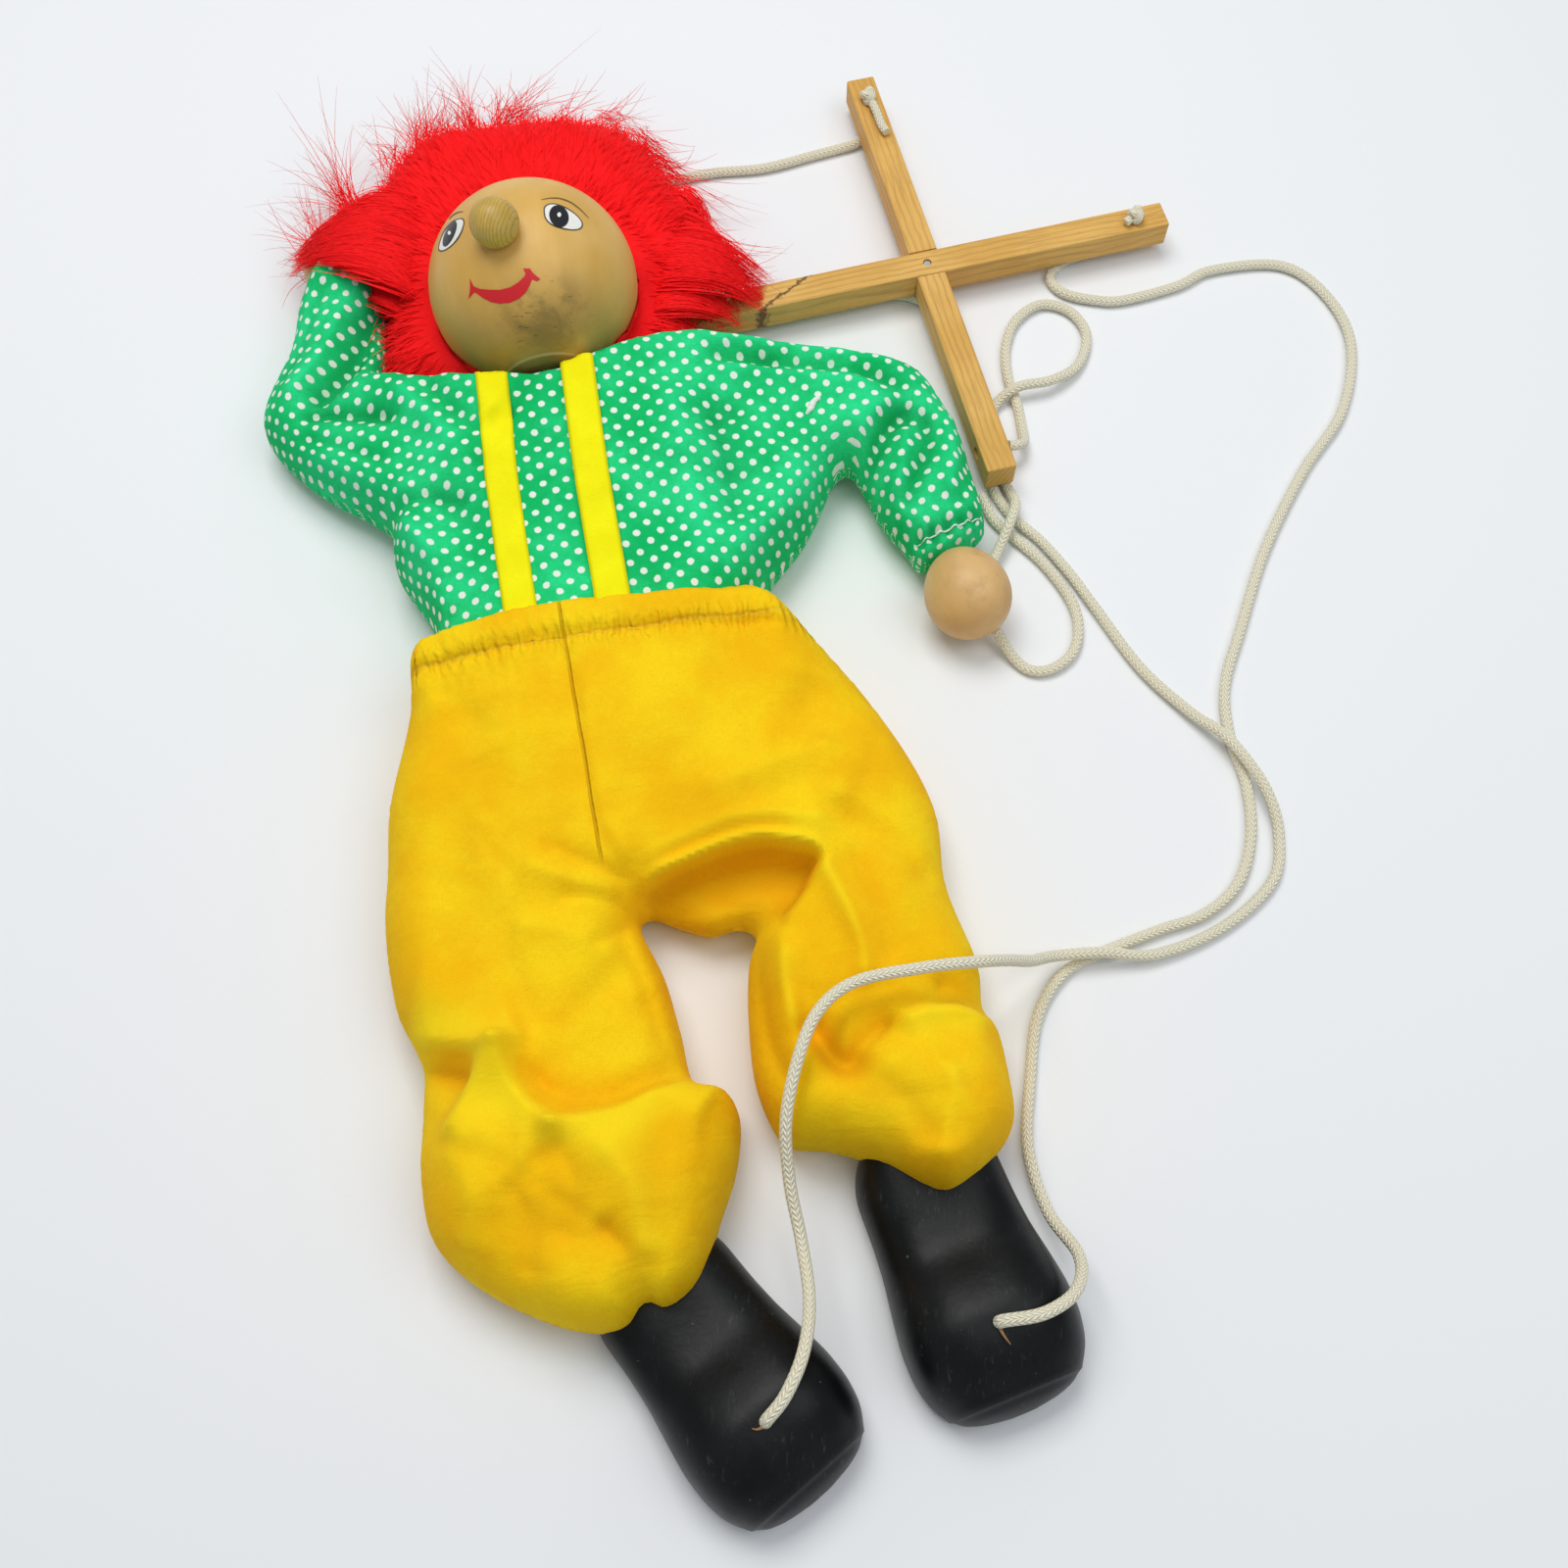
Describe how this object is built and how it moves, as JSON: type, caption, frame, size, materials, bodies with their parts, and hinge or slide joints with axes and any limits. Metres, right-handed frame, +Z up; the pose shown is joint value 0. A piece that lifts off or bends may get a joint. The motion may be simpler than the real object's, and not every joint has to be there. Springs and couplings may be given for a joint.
{
  "type": "string puppet",
  "caption": "Limp string puppet on its back: wooden head, hands and shoes, red fur wig, dotted shirt, yellow trousers, and a wooden control cross tied on by cords.",
  "frame": {"origin": "on the table under the middle of the doll and its control cross, strings left out", "axes": "+Z up from the table; +Y along the table from the shoes towards the head; +X towards the control cross"},
  "size_m": [0.3696, 0.4803, 0.0805],
  "materials": {
    "wood": "turned, satin",
    "block_wood": "sawn",
    "bar_wood": "planed",
    "fur": "long-pile fur",
    "shirt_cotton": "printed cotton with white dots",
    "tape": "woven tape",
    "trouser_cotton": "plain cotton",
    "shoe_paint": "satin black paint",
    "cord": "braided cotton cord",
    "steel": "plain"
  },
  "bodies": {
    "torso": {"torso_block": "block_wood", "neck_peg": "wood", "shirt_body": "shirt_cotton", "left_suspender": "tape", "right_suspender": "tape", "waistband": "trouser_cotton", "trousers_seat": "trouser_cotton", "head_string": "cord", "left_foot_string": "cord", "right_foot_string": "cord", "hand_string": "cord", "hand_return_string": "cord"},
    "head": {"head_ball": "wood", "nose": "wood", "wig": "fur"},
    "right_upper_arm": {"right_upper_sleeve": "shirt_cotton", "right_upper_arm_cord": "cord"},
    "right_forearm": {"right_lower_sleeve": "shirt_cotton", "right_forearm_cord": "cord"},
    "right_hand": {"right_hand": "wood"},
    "left_upper_arm": {"left_upper_sleeve": "shirt_cotton", "left_upper_arm_cord": "cord"},
    "left_forearm": {"left_lower_sleeve": "shirt_cotton", "left_forearm_cord": "cord"},
    "left_hand": {"left_hand": "wood"},
    "left_thigh": {"left_thigh_leg": "trouser_cotton", "left_thigh_cord": "cord"},
    "left_shin": {"left_shin_leg": "trouser_cotton", "left_shin_cord": "cord"},
    "left_foot": {"left_shoe": "shoe_paint"},
    "right_thigh": {"right_thigh_leg": "trouser_cotton", "right_thigh_cord": "cord"},
    "right_shin": {"right_shin_leg": "trouser_cotton", "right_shin_cord": "cord"},
    "right_foot": {"right_shoe": "shoe_paint"},
    "control": {"main_bar": "bar_wood", "cross_bar": "bar_wood", "lap_pin": "steel", "head_knot": "cord", "left_foot_knot": "cord", "right_foot_knot": "cord"}
  },
  "joints": [
    {"name": "neck_turn", "type": "hinge", "parent": "torso", "child": "head", "pos_m": [-0.061, 0.125, 0.0355], "axis": [-0.1866, 0.9602, 0.2079], "range_deg": [-30, 30], "deforming": ["head_string"]},
    {"name": "right_shoulder", "type": "hinge", "parent": "torso", "child": "right_upper_arm", "pos_m": [0.00449, 0.08679, 0.014], "axis": [-0.0435, -0.9991, 0], "range_deg": [0, 40], "deforming": ["hand_string", "hand_return_string"]},
    {"name": "right_elbow", "type": "hinge", "parent": "right_upper_arm", "child": "right_forearm", "pos_m": [0.05586, 0.08456, 0.0135], "axis": [-0.9438, -0.3305, 0], "range_deg": [0, 40], "deforming": ["hand_string", "hand_return_string"]},
    {"name": "right_wrist", "type": "hinge", "parent": "right_forearm", "child": "right_hand", "pos_m": [0.07444, 0.03151, 0.0144], "axis": [-0.9438, -0.3305, 0], "range_deg": [0, 20], "deforming": ["hand_string", "hand_return_string"]},
    {"name": "left_shoulder", "type": "hinge", "parent": "torso", "child": "left_upper_arm", "pos_m": [-0.10174, 0.06207, 0.014], "axis": [0, 0, 1], "range_deg": [0, 40]},
    {"name": "left_elbow", "type": "hinge", "parent": "left_upper_arm", "child": "left_forearm", "pos_m": [-0.13869, 0.08443, 0.0135], "axis": [0, 0, 1], "range_deg": [0, 45]},
    {"name": "left_wrist", "type": "hinge", "parent": "left_forearm", "child": "left_hand", "pos_m": [-0.13114, 0.14224, 0.0144], "axis": [0.9916, -0.1294, 0], "range_deg": [0, 20]},
    {"name": "left_hip", "type": "hinge", "parent": "torso", "child": "left_thigh", "pos_m": [-0.06161, -0.06053, 0.018], "axis": [-0.9754, -0.2204, 0], "range_deg": [0, 40], "deforming": ["left_foot_string"]},
    {"name": "left_knee", "type": "hinge", "parent": "left_thigh", "child": "left_shin", "pos_m": [-0.04705, -0.12493, 0.0177], "axis": [-0.8622, -0.5066, 0], "range_deg": [0, 40], "deforming": ["left_foot_string"]},
    {"name": "left_ankle", "type": "hinge", "parent": "left_shin", "child": "left_foot", "pos_m": [-0.01052, -0.1871, 0.01], "axis": [0, 0, 1], "range_deg": [-20, 20], "deforming": ["left_foot_string"]},
    {"name": "right_hip", "type": "hinge", "parent": "torso", "child": "right_thigh", "pos_m": [0.02968, -0.04278, 0.018], "axis": [-0.9785, -0.2061, 0], "range_deg": [0, 40], "deforming": ["right_foot_string"]},
    {"name": "right_knee", "type": "hinge", "parent": "right_thigh", "child": "right_shin", "pos_m": [0.04287, -0.10541, 0.0177], "axis": [-0.949, -0.3154, 0], "range_deg": [0, 40], "deforming": ["right_foot_string"]},
    {"name": "right_ankle", "type": "hinge", "parent": "right_shin", "child": "right_foot", "pos_m": [0.06005, -0.15709, 0.01], "axis": [0, 0, 1], "range_deg": [-20, 20], "deforming": ["right_foot_string"]},
    {"name": "control_lift", "type": "slide", "parent": "torso", "child": "control", "axis": [0, 0, 1], "range_m": [0, 0.06], "deforming": ["head_string", "left_foot_string", "right_foot_string", "hand_string", "hand_return_string"]}
  ]
}
